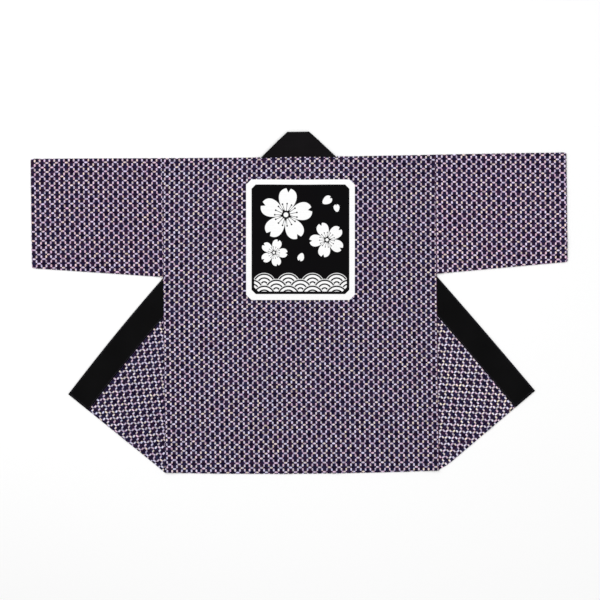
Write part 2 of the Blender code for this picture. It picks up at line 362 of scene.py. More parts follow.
def timesColour(tree, colour, factor):
    node = tree.nodes.new("ShaderNodeVectorMath")
    node.operation = "MULTIPLY"
    for socket, value in zip(node.inputs, (colour, factor)):
        feed(tree, socket, value)
    return node.outputs[0]


def noise(tree, vector, scale, detail=2.0, roughness=0.5):
    node = tree.nodes.new("ShaderNodeTexNoise")
    given = {"Vector": vector, "Scale": scale, "Detail": detail, "Roughness": roughness}
    feedAll(tree, node.inputs, given)
    return node.outputs["Fac"]


def patches(tree, vector, scale, limit, soft, start=None, detail=1.0):
    place = moved(tree, vector, start) if start else vector
    return below(tree, noise(tree, place, scale, detail), limit, soft)


def split(tree, vector):
    node = tree.nodes.new("ShaderNodeSeparateXYZ")
    feed(tree, node.inputs[0], vector)
    return node.outputs[0], node.outputs[1]


def join(tree, x, y, z=0.0):
    node = tree.nodes.new("ShaderNodeCombineXYZ")
    for socket, value in zip(node.inputs, (x, y, z)):
        feed(tree, socket, value)
    return node.outputs[0]


def moved(tree, vector, start, turn=0.0):  # the vector seen from a turned start
    node = tree.nodes.new("ShaderNodeMapping")
    node.vector_type = "TEXTURE"
    given = {"Vector": vector, "Location": (*start, 0.0), "Rotation": (0.0, 0.0, turn)}
    feedAll(tree, node.inputs, given)
    return node.outputs[0]


def shaderGroup(name, floats, outputs):  # it takes a vector, and floats with their usual values
    tree = bpy.data.node_groups.new(name, "ShaderNodeTree")
    tree.interface.new_socket("Vector", in_out="INPUT", socket_type="NodeSocketVector")
    for label, value in floats.items():
        socket = tree.interface.new_socket(label, in_out="INPUT", socket_type="NodeSocketFloat")
        socket.default_value = value
    for label in outputs:
        tree.interface.new_socket(label, in_out="OUTPUT", socket_type="NodeSocketFloat")
    taken = tree.nodes.new("NodeGroupInput").outputs
    given = tree.nodes.new("NodeGroupOutput").inputs
    return tree, functools.partial(calc, tree), taken, given


def placed(tree, group, **values):
    node = tree.nodes.new("ShaderNodeGroup")
    node.node_tree = group
    feedAll(tree, node.inputs, values)
    return node.outputs


netShape = {
    "uprightStraight": 0.0014,  # half the straight part of an upright dash
    "uprightHalf": 0.0021,  # and half its width
    "thinner": 0.0004,  # by which it is narrower where the waves print through
    "levelStraight": 0.0019,
    "levelHalf": 0.0019,
    "dashSoft": 0.0003,
    "lineWider": 0.0006,  # where the waves print through
    "lineSoft": 0.00025,
    "lineFaint": 0.30,
    "lineStronger": 0.60,
    "rowsAcross": 11.0,  # how fast the rows change from one kind to the other
    "rowsUp": 50.0,
    "rowsWhole": 0.47,
    "rowsSoft": 0.10,
    "blotches": 110.0,
    "blotchContrast": 1.4,
    "blotchBase": 0.06,
    "weaker": 0.10,  # the dashes where the waves print through
    "cream": {"start": (1.7, 2.3), "scale": 150.0, "limit": 0.46, "soft": 0.08},
    "pink": {"start": (3.1, 5.7), "scale": 130.0, "limit": 0.42, "soft": 0.08},
}


def makeNetPrint():
    tree, do, taken, given = shaderGroup(
        "netPrint",
        {
            "Across": 0.0241,
            "Up": 0.0225,
            "Line": 0.0007,
            "Lean": 0.0,
            "RowBow": 0.0,
            "ColumnBow": 0.0,
        },
        ("Waves", "Dashes", "Strength", "Cream", "Pink"),
    )
    across, up = taken["Across"], taken["Up"]
    givenX, givenY = split(tree, taken["Vector"])

    # The net lies a little askew: its columns lean, and its rows and columns bow
    bowed = do("MULTIPLY", givenY, taken["ColumnBow"])
    leant = do("MULTIPLY_ADD", bowed, givenY, do("MULTIPLY", givenY, taken["Lean"]))
    x = do("SUBTRACT", givenX, leant)
    y = do("SUBTRACT", givenY, do("MULTIPLY", do("MULTIPLY", givenX, givenX), taken["RowBow"]))
    even = join(tree, x, y)
    halfX, halfY = do("MULTIPLY", across, 0.5), do("MULTIPLY", up, 0.5)
    quarterX, quarterY = do("MULTIPLY", across, 0.25), do("MULTIPLY", up, 0.25)

    # In some rows the waves print through, in others the dashes stand alone
    rows = join(
        tree, do("MULTIPLY", x, netShape["rowsAcross"]), do("MULTIPLY", y, netShape["rowsUp"])
    )
    whole = below(tree, noise(tree, rows, 1.0), netShape["rowsWhole"], netShape["rowsSoft"])

    def dash(along, aside, straight, half):  # rounded, from the distances to its middle
        past = do("MAXIMUM", do("SUBTRACT", along, straight), 0.0)
        return below(tree, distance(tree, past, aside), half, netShape["dashSoft"])

    asideX = do("SUBTRACT", quarterX, do("PINGPONG", x, quarterX))
    asideY = do("SUBTRACT", quarterY, do("PINGPONG", y, quarterY))
    half = do("MULTIPLY_ADD", whole, -netShape["thinner"], netShape["uprightHalf"])
    upright = dash(asideY, asideX, netShape["uprightStraight"], half)
    nearX, nearY = do("PINGPONG", x, halfX), do("PINGPONG", y, halfY)
    levelSize = netShape["levelStraight"], netShape["levelHalf"]
    level = do(
        "MAXIMUM",
        dash(do("SUBTRACT", halfX, nearX), nearY, *levelSize),
        dash(nearX, do("SUBTRACT", halfY, nearY), *levelSize),
    )

    # Waves of net join the dashes. With c as the cosine, each is c * (1.5 - 0.5 * c * c), which
    # has a flatter crest and steeper sides, and its slope goes with the cube of the sine.
    turn = do("DIVIDE", do("MULTIPLY", x, 2 * math.pi), across)
    wave = do("COSINE", turn)
    flatter = do("MULTIPLY", 0.5, do("MULTIPLY", wave, wave))
    wave = do("MULTIPLY", wave, do("SUBTRACT", 1.5, flatter))
    height = do("MULTIPLY", quarterY, wave)
    rise = do("MULTIPLY", do("SINE", turn), 3 * math.pi)
    rise = do("MULTIPLY", do("DIVIDE", quarterY, across), rise)
    steep = do("MULTIPLY", rise, do("POWER", do("SINE", turn), 2.0))
    away = []
    for sign, start in ((-1.0, 0.75), (1.0, 0.25)):
        shifted = do("MULTIPLY_ADD", height, sign, do("MULTIPLY_ADD", up, start, y))
        away.append(do("PINGPONG", shifted, halfY))
    nearest = do("DIVIDE", do("MINIMUM", *away), do("SQRT", do("MULTIPLY_ADD", steep, steep, 1.0)))

    lineHalf = do("MULTIPLY_ADD", whole, netShape["lineWider"], taken["Line"])
    line = below(tree, nearest, lineHalf, netShape["lineSoft"])
    strong = do("MULTIPLY_ADD", whole, netShape["lineStronger"], netShape["lineFaint"])
    tree.links.new(do("MULTIPLY", line, strong), given["Waves"])
    tree.links.new(do("MAXIMUM", upright, level), given["Dashes"])
    blotchy = noise(tree, even, netShape["blotches"], 1.0)
    blotchy = do("MULTIPLY_ADD", blotchy, netShape["blotchContrast"], netShape["blotchBase"])
    tree.links.new(do("MULTIPLY_ADD", whole, -netShape["weaker"], blotchy), given["Strength"])
    tree.links.new(patches(tree, even, **netShape["cream"]), given["Cream"])
    tree.links.new(patches(tree, even, **netShape["pink"]), given["Pink"])
    return tree


# Threads that run thicker for a while
slubShape = {
    "across": 0.0002,
    "up": 0.004,
    "scale": 9.0,
    "detail": 3.0,
    "roughness": 0.6,
    "height": 1.2,
}


def makePlainWeave():
    tree, do, taken, given = shaderGroup(
        "plainWeave", {"Pitch": 0.0006, "Twill": 0.0}, ("Height", "Slub")
    )
    x, y = split(tree, taken["Vector"])
    turn = do("DIVIDE", 2 * math.pi, taken["Pitch"])
    x, y = do("MULTIPLY", x, turn), do("MULTIPLY", y, turn)
    plain = do("MULTIPLY", do("SINE", x), do("SINE", y))
    ribs = do("SINE", do("MULTIPLY", do("ADD", x, y), 0.5))
    woven = do("ADD", plain, do("MULTIPLY", taken["Twill"], do("SUBTRACT", ribs, plain)))
    stretched = join(
        tree, do("MULTIPLY", x, slubShape["across"]), do("MULTIPLY", y, slubShape["up"])
    )
    slub = noise(tree, stretched, *(slubShape[key] for key in ("scale", "detail", "roughness")))
    tree.links.new(do("MULTIPLY_ADD", slub, slubShape["height"], woven), given["Height"])
    tree.links.new(slub, given["Slub"])
    return tree


# Shares of a petal's length, then of a blossom's and of a wave arc's radius
petalShape = {
    "middle": 0.57,
    "half": 0.43,
    "waist": 0.21,
    "widening": 0.20,
    "soft": 0.012,
    "notch": 0.84,
    "notchSlope": 0.55,
    "notchSoft": 0.006,
}
blossomShape = {
    "petals": 5,
    "threads": 15,
    "threadHalf": 0.010,
    "threadSoft": 0.004,
    "threadEnd": 0.40,
    "endSoft": 0.010,
    "dotAway": 0.42,
    "dot": 0.032,
    "dotSoft": 0.006,
    "eye": 0.16,
    "heart": 0.09,
    "eyeSoft": 0.008,
}
arcShape = {
    "rows": 3,
    "soft": 0.012,
    "rings": 3.2,
    "ringShare": 0.62,
    "ringSoft": 0.04,
    "edge": 0.985,
    "edgeHalf": 0.03,
}


def makePetal():
    tree, do, taken, given = shaderGroup("petal", {"Size": 0.05}, ["White"])
    length = taken["Size"]
    x, y = split(tree, taken["Vector"])
    x, y = do("DIVIDE", x, length), do("ABSOLUTE", do("DIVIDE", y, length))
    reach = do("DIVIDE", do("SUBTRACT", x, petalShape["middle"]), petalShape["half"])
    wide = do("MULTIPLY_ADD", x, petalShape["widening"], petalShape["waist"])
    side = do("DIVIDE", y, wide)
    body = below(tree, distance(tree, reach, side), 1.0, petalShape["soft"])
    notchHalf = do("MULTIPLY", do("SUBTRACT", x, petalShape["notch"]), petalShape["notchSlope"])
    notch = below(tree, y, notchHalf, petalShape["notchSoft"])
    tree.links.new(do("MULTIPLY", body, do("SUBTRACT", 1.0, notch)), given["White"])
    return tree


def makeBlossom(petal):
    tree, do, taken, given = shaderGroup("blossom", {"Size": 0.05}, ["White"])
    radius = taken["Size"]
    x, y = split(tree, taken["Vector"])
    away = distance(tree, x, y)
    turn = do("ARCTAN2", y, x)

    def folded(count):
        wedge = 2 * math.pi / count
        share = do("SUBTRACT", do("FRACT", do("ADD", do("DIVIDE", turn, wedge), 0.5)), 0.5)
        share = do("MULTIPLY", share, wedge)
        return [do("MULTIPLY", away, do(kind, share)) for kind in ("COSINE", "SINE")]

    shape = blossomShape
    leaf = placed(tree, petal, Vector=join(tree, *folded(shape["petals"])), Size=radius)["White"]
    out, side = folded(shape["threads"])
    out, side = do("DIVIDE", out, radius), do("ABSOLUTE", do("DIVIDE", side, radius))
    thread = below(tree, side, shape["threadHalf"], shape["threadSoft"])
    thread = do("MULTIPLY", thread, below(tree, out, shape["threadEnd"], shape["endSoft"]))
    fromDot = distance(tree, do("SUBTRACT", out, shape["dotAway"]), side)
    dark = do("MAXIMUM", thread, below(tree, fromDot, shape["dot"], shape["dotSoft"]))
    away = do("DIVIDE", away, radius)
    dark = do("MAXIMUM", dark, below(tree, away, shape["eye"], shape["eyeSoft"]))
    heart = below(tree, away, shape["heart"], shape["eyeSoft"])
    white = do("MAXIMUM", do("MULTIPLY", leaf, do("SUBTRACT", 1.0, dark)), heart)
    tree.links.new(white, given["White"])
    return tree


def makeWaveArcs():
    tree, do, taken, given = shaderGroup("waveArcs", {"Size": 0.03}, ["Arcs", "Inside"])
    x, y = (do("DIVIDE", part, taken["Size"]) for part in split(tree, taken["Vector"]))
    arcs, inside = 0.0, 0.0
    for row in range(arcShape["rows"]):  # from the back row to the front one, which covers it
        offset = 0.5 * (row % 2)
        share = do("FRACT", do("ADD", do("MULTIPLY", x, 0.5), offset))
        dx = do("MULTIPLY", do("SUBTRACT", share, 0.5), 2.0)
        dy = do("ADD", y, 0.5 * row)
        away = distance(tree, dx, dy)
        here = below(tree, away, 1.0, arcShape["soft"])
        rings = do("FRACT", do("MULTIPLY", away, arcShape["rings"]))
        rings = below(tree, rings, arcShape["ringShare"], arcShape["ringSoft"])
        edge = do("ABSOLUTE", do("SUBTRACT", away, arcShape["edge"]))
        edge = below(tree, edge, 0.0, arcShape["edgeHalf"])
        rings = do("MULTIPLY", rings, do("SUBTRACT", 1.0, edge))
        arcs = do("MULTIPLY_ADD", here, do("SUBTRACT", rings, arcs), arcs)
        inside = do("MAXIMUM", inside, here)
    tree.links.new(arcs, given["Arcs"])
    tree.links.new(inside, given["Inside"])
    return tree


groups = {"net": makeNetPrint(), "weave": makePlainWeave(), "petal": makePetal()}
groups["blossom"] = makeBlossom(groups["petal"])
groups["waves"] = makeWaveArcs()
print("drew the print's parts")

cotton = {
    "navy": (0.0050, 0.0026, 0.0145, 1.0),
    "paleNavy": (0.0240, 0.0150, 0.0445, 1.0),
    "cool": (0.72, 1.10, 1.22, 1.0),  # the navy's hue wanders between these two
    "warm": (1.32, 0.86, 0.84, 1.0),
    # painted shade for one seam, with its share and softness below
    "seamShadePlum": (0.060, 0.014, 0.034, 1.0),
    "reverse": (0.14, 0.12, 0.17, 1.0),
    "violet": (0.38, 0.26, 0.41, 1.0),
    "lilac": (0.78, 0.78, 0.99, 1.0),
    "cream": (0.97, 0.86, 0.66, 1.0),
    "pink": (0.88, 0.62, 0.78, 1.0),
    "roughness": 0.88,
    "sheen": 0.02,
    "pitch": 0.0007,
    "weaveDepth": 0.00010,
    "dyed": {"scale": 90.0, "limit": 0.5, "soft": 0.2, "detail": 2.0},
    "hue": {"start": (0.9, 4.1), "scale": 120.0, "limit": 0.5, "soft": 0.12},
    "slubDark": 0.92,
    "slubLight": 0.16,
    "seamShadeShare": 0.7,
    "seamShadeSoft": 0.0003,
    "reverseShare": 0.5,
    "bowReach": 0.30,  # how far from its start the net has bowed by rowBow and columnBow
}

panel = {
    "middle": (0.0024, 0.1561),
    "turn": math.radians(-0.68),
    "halfWide": 0.1348,
    "halfHigh": 0.1494,
    "border": 0.0135,
    "raised": 0.0010,  # the black lies this much higher than the border round it
    "corner": 0.0130,
    "innerCorner": 0.0105,
    "soft": 0.0004,
    "white": (0.95, 0.95, 0.95, 1.0),
    "black": (0.0030, 0.0027, 0.0032, 1.0),
    "margin": 0.0065,  # black left between the motifs and the border
    "flowers": (  # kind, start from the panel's middle, radius or length, turn in degrees
        ("blossom", (-0.036, 0.062), 0.066, 12),
        ("blossom", (0.066, 0.000), 0.044, 40),
        ("blossom", (-0.066, -0.032), 0.034, 70),
        ("petal", (0.052, 0.088), 0.030, 35),
        ("petal", (0.092, 0.066), 0.022, 100),
        ("petal", (0.006, -0.030), 0.024, 250),
    ),
    "waves": (0.0, -0.112),
    "waveRadius": 0.0300,
}


def framedPanel(tree, vector):  # where the panel covers the print, and where it is white
    do = functools.partial(calc, tree)
    own = moved(tree, vector, panel["middle"], panel["turn"])
    x, y = split(tree, own)
    aside = do("ABSOLUTE", x)

    def insideFrame(inset, corner, raised=0.0):
        wide, high = panel["halfWide"] - inset, panel["halfHigh"] - inset
        above = do("ABSOLUTE", do("SUBTRACT", y, raised))
        straight = do("MAXIMUM", do("SUBTRACT", aside, wide), do("SUBTRACT", above, high))
        cut = do("SUBTRACT", do("ADD", aside, above), wide + high - corner)
        return below(tree, do("MAXIMUM", straight, cut), 0.0, panel["soft"])

    outer = insideFrame(0.0, panel["corner"])
    inner = insideFrame(panel["border"], panel["innerCorner"], panel["raised"])
    motif = 0.0
    for kind, start, size, turn in panel["flowers"]:
        here = moved(tree, own, start, math.radians(turn))
        motif = do("MAXIMUM", motif, placed(tree, groups[kind], Vector=here, Size=size)["White"])
    here = moved(tree, own, panel["waves"])
    waves = placed(tree, groups["waves"], Vector=here, Size=panel["waveRadius"])
    motif = do("MULTIPLY_ADD", waves["Inside"], do("SUBTRACT", waves["Arcs"], motif), motif)
    clear = insideFrame(panel["border"] + panel["margin"], panel["innerCorner"], panel["raised"])
    motif = do("MULTIPLY", motif, clear)
    white = do("MAXIMUM", do("SUBTRACT", 1.0, inner), motif)
    return outer, white


cloth = {"sheenRoughness": 0.6, "specular": 0.03, "bump": 0.5}


def newMaterial(name, roughness, sheen):
    made = bpy.data.materials.new(name)
    made.use_nodes = True
    shader = made.node_tree.nodes["Principled BSDF"]
    shader.inputs["Roughness"].default_value = roughness
    shader.inputs["Sheen Weight"].default_value = sheen
    shader.inputs["Sheen Roughness"].default_value = cloth["sheenRoughness"]
    shader.inputs["Specular IOR Level"].default_value = cloth["specular"]
    return made, made.node_tree, shader


def clothBump(tree, shader, uv, pitch, depth, twill=0.0):
    weave = placed(tree, groups["weave"], Vector=uv, Pitch=pitch, Twill=twill)
    bump = tree.nodes.new("ShaderNodeBump")
    bump.inputs["Strength"].default_value = cloth["bump"]
    bump.inputs["Distance"].default_value = depth
    tree.links.new(weave["Height"], bump.inputs["Height"])
    tree.links.new(bump.outputs[0], shader.inputs["Normal"])
    return weave["Slub"]


def flatPlace(tree):
    node = tree.nodes.new("ShaderNodeUVMap")
    node.uv_map = "flatCloth"
    return node.outputs[0]


def makePrintedCotton(
    name, start, paintedLightTint, turn, lean, across, up, rowBow=0.0, columnBow=0.0, seamShadeFrom=None,
    framed=False, wrongSide=False,
):
    made, tree, shader = newMaterial(name, cotton["roughness"], cotton["sheen"])
    uv = flatPlace(tree)
    net = placed(
        tree, groups["net"], Vector=moved(tree, uv, start, math.radians(turn)), Across=across,
        Up=up, Lean=math.tan(math.radians(lean)), RowBow=rowBow / cotton["bowReach"] ** 2,
        ColumnBow=columnBow / cotton["bowReach"] ** 2,
    )
    blend = functools.partial(blendColour, tree)
    light = blend(net["Cream"], cotton["lilac"], cotton["cream"])
    light = blend(net["Pink"], light, cotton["pink"])
    colour = blend(patches(tree, uv, **cotton["dyed"]), cotton["navy"], cotton["paleNavy"])
    hue = blend(patches(tree, uv, **cotton["hue"]), cotton["cool"], cotton["warm"])
    colour = timesColour(tree, colour, hue)
    light = blend(net["Strength"], colour, light)
    colour = blend(net["Waves"], colour, cotton["violet"])
    # Painted light: the colour scale makes the pieces on the right lighter than those on the left;
    # it also shifts each piece's hue
    colour = timesColour(tree, blend(net["Dashes"], colour, light), paintedLightTint)
    if framed:
        covered, white = framedPanel(tree, uv)
        colour = blend(covered, colour, blend(white, panel["black"], panel["white"]))
    # Painted shade: a dark plum stripe along the back's right armhole seam stands in for the shadow
    # in that seam
    if seamShadeFrom is not None:  # a darker stripe along one seam
        inside = below(tree, split(tree, uv)[0], seamShadeFrom, cotton["seamShadeSoft"])
        share = calc(tree, "MULTIPLY", calc(tree, "SUBTRACT", 1.0, inside), cotton["seamShadeShare"])
        colour = blend(share, colour, cotton["seamShadePlum"])
    if wrongSide:  # the dye shows through only in part
        colour = blend(cotton["reverseShare"], colour, cotton["reverse"])
    slub = clothBump(tree, shader, uv, cotton["pitch"], cotton["weaveDepth"])
    shade = calc(tree, "MULTIPLY_ADD", slub, cotton["slubLight"], cotton["slubDark"])
    tree.links.new(timesColour(tree, colour, shade), shader.inputs["Base Color"])
    return made


def makeBothSides(name, **printed):  # the cloth's right side and its wrong side
    right = makePrintedCotton(name, **printed)
    return [right, makePrintedCotton(name + "_wrong_side", wrongSide=True, **printed)]


band = {
    # One black cloth in two copies: the turned bands' is painted darker, in shade, and the neck
    # stretch's is lighter, partly as it shows the cloth's right side and partly as painted light
    "black": (0.0027, 0.0026, 0.0028, 1.0),
    "neckBlackPaintedLighter": (0.0050, 0.0044, 0.0050, 1.0),
    "roughness": 0.82,
    "sheen": 0.015,
    "pitch": 0.0008,
    "weaveDepth": 0.00014,
    "twill": 0.8,
    "paler": 1.5,  # where it has worn
    "slubShare": 0.5,
    "wornScale": 12.0,
    "wornLimit": 0.75,
    "wornSoft": 0.3,
}


def makeBlackCotton(name, black):
    made, tree, shader = newMaterial(name, band["roughness"], band["sheen"])
    uv = flatPlace(tree)
    slub = clothBump(tree, shader, uv, band["pitch"], band["weaveDepth"], band["twill"])
    paler = tuple(band["paler"] * part for part in black[:3]) + (1.0,)
    slub = calc(tree, "MULTIPLY", slub, band["slubShare"])
    cloudy = calc(tree, "ADD", slub, noise(tree, uv, band["wornScale"]))
    share = below(tree, cloudy, band["wornLimit"], band["wornSoft"])
    colour = blendColour(tree, share, paler, black)
    tree.links.new(colour, shader.inputs["Base Color"])
    return made


sewing = {
    "dark": (0.010, 0.008, 0.020, 1.0),
    "light": (0.030, 0.025, 0.050, 1.0),
    "flecks": 900.0,
    "roughness": 0.6,
    "sheen": 0.2,
}


def makeThread():
    made, tree, shader = newMaterial("navyThread", sewing["roughness"], sewing["sheen"])
    place = tree.nodes.new("ShaderNodeTexCoord").outputs["Object"]
    flecks = noise(tree, place, sewing["flecks"])
    colour = blendColour(tree, flecks, sewing["dark"], sewing["light"])
    tree.links.new(colour, shader.inputs["Base Color"])
    return made


thread = makeThread()

hems = {"deep": 0.018, "step": 0.0022, "steps": 2, "rise": 0.00035, "stitch": 0.0160}
stitches = {
    "pitch": 0.0032,
    "length": 0.0024,
    "wide": 0.0007,
    "high": 0.0005,
    "inset": 0.002,  # of a row's ends from the side seams
    "bandInset": 0.003,
    "bandHem": 0.004,
    "seamTop": 0.20,  # where the row along the band's seam ends
    "edgeTop": 0.33,
    "fromFold": 0.004,
}


def turnedHem(inFromEdge):  # how much the folded-up hem raises the cloth's right side
    return hems["rise"] * (1 - ease((inFromEdge - hems["deep"]) / hems["step"]))


def hemSteps(edge, inward=1):  # the lines on which the hem's step is creased
    start = edge + inward * hems["deep"]
    return spaced(start, start + inward * hems["step"], hems["steps"])


def makeOneStitch():
    bm = bmesh.new()
    size = [stitches[key] / 2 for key in ("length", "wide", "high")]
    stretch = Matrix.Diagonal((*size, 1))
    bmesh.ops.create_uvsphere(bm, u_segments=6, v_segments=4, radius=1, matrix=stretch)
    return toMesh(bm, "oneStitch")


oneStitch = makeOneStitch()


def sewRow(bm, path):
    for start, end in zip(path, path[1:]):
        turn = (end - start).to_track_quat("X", "Z").to_matrix().to_4x4()
        stitch = oneStitch.copy()
        stitch.transform(Matrix.Translation((start + end) / 2) @ turn)
        bm.from_mesh(stitch)
        bpy.data.meshes.remove(stitch)


def makeStitches(name, thickness, lay, rows):  # on the cloth's upper surface
    bm = bmesh.new()
    for start, end in rows:
        start, end = Vector(start), Vector(end)
        count = max(2, round((end - start).length / stitches["pitch"]))
        places = [start.lerp(end, k / count) for k in range(count + 1)]
        sewRow(bm, [dropped(lay(*place, thickness / 2)) for place in places])
    mesh = toMesh(bm, name)
    mesh.shade_smooth()
    mesh.materials.append(thread)
    return show(name, mesh)


def creaseRows(bm, rows=(), columns=()):
    for y in rows:
        crease(bm, (0, y), (0, 1))
    for x in columns:
        crease(bm, (x, 0), (1, 0))


def keep(piece, node, slot, **sheet):
    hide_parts(node)
    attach(piece, "root")
    for extra in sheet.get("with_pieces", ()):
        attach(extra, "root")


def unturned(x, y, side):  # where a point on a turned front lies in the flat cloth
    out = foldDistance(side * x, y)[0]
    point = Vector((side * x, y)) - 2 * out * foldOut
    return point.x, point.y


# For each piece, where a crossing of the net lies, how it is turned and leans in degrees, its
# repeat, how far it bows within bowReach, and a colour scale that is partly painted light, as it
# makes the right-hand pieces lighter than the left ones, and partly a shift of each piece's hue
prints = {
    "back": {
        "start": (0.0178, -0.0797),
        "turn": -0.1,
        "lean": 0.0,
        "across": 0.0240,
        "up": 0.02236,
        "rowBow": -0.0049,
        "columnBow": 0.0018,
        "paintedLightTint": (1.00, 0.955, 1.00),
        # where the painted seam shade begins
        "seamShadeFrom": 0.3373,
    },
    "sleeve_left": {
        "start": (-0.4062, 0.2283),
        "turn": -1.3,
        "lean": -1.7,
        "across": 0.0242,
        "up": 0.0227,
        "rowBow": -0.0072,
        "columnBow": 0.0025,
        "paintedLightTint": (1.02, 0.91, 0.98),
    },
    "sleeve_right": {
        "start": (0.4344, 0.2369),
        "turn": -1.65,
        "lean": -1.5,
        "across": 0.0244,
        "up": 0.0226,
        "rowBow": 0.0087,
        "columnBow": 0.0006,
        "paintedLightTint": (1.13, 1.02, 1.08),
    },
    "front_left": {
        "start": unturned(-0.3849, -0.2022, -1),
        "turn": 1.7,
        "lean": 1.0,
        "across": 0.0241,
        "up": 0.0224,
        "paintedLightTint": (1.02, 1.00, 1.04),
    },
    "front_right": {
        "start": unturned(0.4065, -0.1863, 1),
        "turn": 1.7,
        "lean": 0.6,
        "across": 0.0242,
        "up": 0.0224,
        "paintedLightTint": (1.19, 1.17, 1.16),
    },
}


# The back, which goes over the shoulder and a little way under
back = {
    "edge": coat["halfWidth"] - slack / 2,
    "neck": coat["neckHalf"] + slack / 2,
    "neckEdge": coat["neckY"] - slack,
    "reach": (layers["cloth"] + layers["gap"]) / 2,
}
back["bendStart"] = coat["shoulderY"] - layers["cloth"] / 2 - back["reach"]
back["bendEnd"] = back["bendStart"] + 2 * layers["halfFold"]


def layBack(x, v, height):
    y = min(v, back["bendStart"])
    onNeck = abs(x) < back["neck"]
    middle = backHeight(x, min(y, coat["neckY"]) if onNeck else y) + layers["cloth"] / 2
    settle = ease((coat["shoulderY"] - y) / layers["settle"])
    if v <= back["bendStart"]:
        aside = x / back["edge"]
        sag = coat["hemSag"] * (1 - aside * aside) + coat["hemSkew"] * aside
        sag *= ease((coat["hemY"] + coat["sagDepth"] - v) / coat["sagDepth"])
        lift = liftAt(topCreases, x, y) * settle
        if height > 0:
            lift += turnedHem(v - coat["hemY"])
        return Vector((x, y - sag, middle + height + lift))
    turn = min((v - back["bendStart"]) / (2 * layers["halfFold"]), 1.0) * math.pi
    under = frontHeight(abs(x), back["bendStart"]) + layers["cloth"] / 2
    radius = (middle - under) / 2
    out = (back["reach"] + height) * math.sin(turn) - max(v - back["bendEnd"], 0.0)
    return Vector((x, back["bendStart"] + out, under + radius + (radius + height) * math.cos(turn)))


def makeBack():
    edge, neck = back["edge"], back["neck"]
    bm = flatCloth(-edge, edge, coat["hemY"], back["bendEnd"] + layers["turnUnder"])
    bends = spaced(back["bendStart"], back["bendEnd"], layers["bendSteps"])
    creaseRows(bm, [*bends, back["neckEdge"], *hemSteps(coat["hemY"])], (-neck, neck))
    trim(bm, lambda x, y: abs(x) < neck and y > back["neckEdge"])
    sides = makeBothSides("printedBack", framed=True, **prints["back"])
    made = makeUp(
        bm, "back_cloth", layers["cloth"], layBack, sides, lambda x, y: (x, y - dropAt(x, y))
    )
    stitchY, end = coat["hemY"] + hems["stitch"], edge - stitches["inset"]
    rows = [((-end, stitchY), (end, stitchY))]
    sewn = makeStitches("back_stitches", layers["cloth"], layBack, rows)
    keep(
        made, "back", "printed_cotton", flat=(2 * edge, coat["backLength"]), held="laid",
        rests_on=["front_left", "front_right", "collar_left", "collar_right"], with_pieces=[sewn],
    )


# Each front and its band, turned over the fold
def layFront(side, thickness, flatX, flatY, height):
    x, y = pulled(side, flatX, flatY)
    out, along = foldDistance(x, y)
    if out >= layers["halfFold"]:
        return Vector((side * x, y, frontHeight(x, y) + thickness / 2 - height))
    atFold = foldFoot + along * foldUp + layers["halfFold"] * foldOut
    radius = frontHeight(atFold.x, atFold.y) / 2
    turn = min((layers["halfFold"] - out) / (2 * layers["halfFold"]), 1.0) * math.pi
    reach = max(layers["halfFold"], -out) + (height - radius) * math.sin(turn)
    point = foldFoot + along * foldUp + reach * foldOut
    z = thickness / 2 + radius + (radius - height) * math.cos(turn)
    if out < -layers["halfFold"]:
        z += liftAt(frontCreases, side * point.x, point.y)
        if height > 0 and flatX > coat["neckHalf"]:
            z += turnedHem(flatY - coat["hemY"])
    return Vector((side * point.x, point.y, z))


def creaseFold(bm):
    for out in spaced(layers["halfFold"], -layers["halfFold"], layers["bendSteps"]):
        crease(bm, foldFoot + out * foldOut, foldOut)


def makeFront(side, hand, printed):
    underShoulder = back["bendStart"] - layers["cloth"] / 2 - layers["turnUnder"] - seam
    left, right = coat["neckHalf"] + slack, back["edge"]
    bm = flatCloth(left, right, coat["hemY"], underShoulder)
    creaseFold(bm)
    creaseRows(bm, hemSteps(coat["hemY"]))
    lay = functools.partial(layFront, side, layers["cloth"])
    sides = makeBothSides("printedFront_" + hand, **printed)
    where = functools.partial(pulled, side)
    made = makeUp(bm, "front_cloth_" + hand, layers["cloth"], lay, sides, where)
    stitchY, end = coat["hemY"] + hems["stitch"], right - stitches["inset"]
    rows = [((left, stitchY), (end, stitchY))]
    sewn = makeStitches("front_stitches_" + hand, layers["cloth"], lay, rows)
    keep(
        made, "front_" + hand, "printed_cotton", flat=(right - left, underShoulder - coat["hemY"]),
        held="folded", with_pieces=[sewn],
    )


def mitre(side):
    foot = Vector((side * (coat["neckHalf"] - seam / 2), coat["neckY"]))
    top = Vector((side * coat["collarTopHalf"], coat["collarTopY"]))
    along = (top - foot).normalized()
    return foot, along, Vector((-side * along.y, side * along.x))


mitreReach = layers["band"] / 2 + (layers["band"] + layers["gap"]) / 2


def crowned(height, share):  # the band's wall thins towards its edges
    return height * (1 - layers["thinAtEdge"] * abs(2 * share - 1) ** 3)


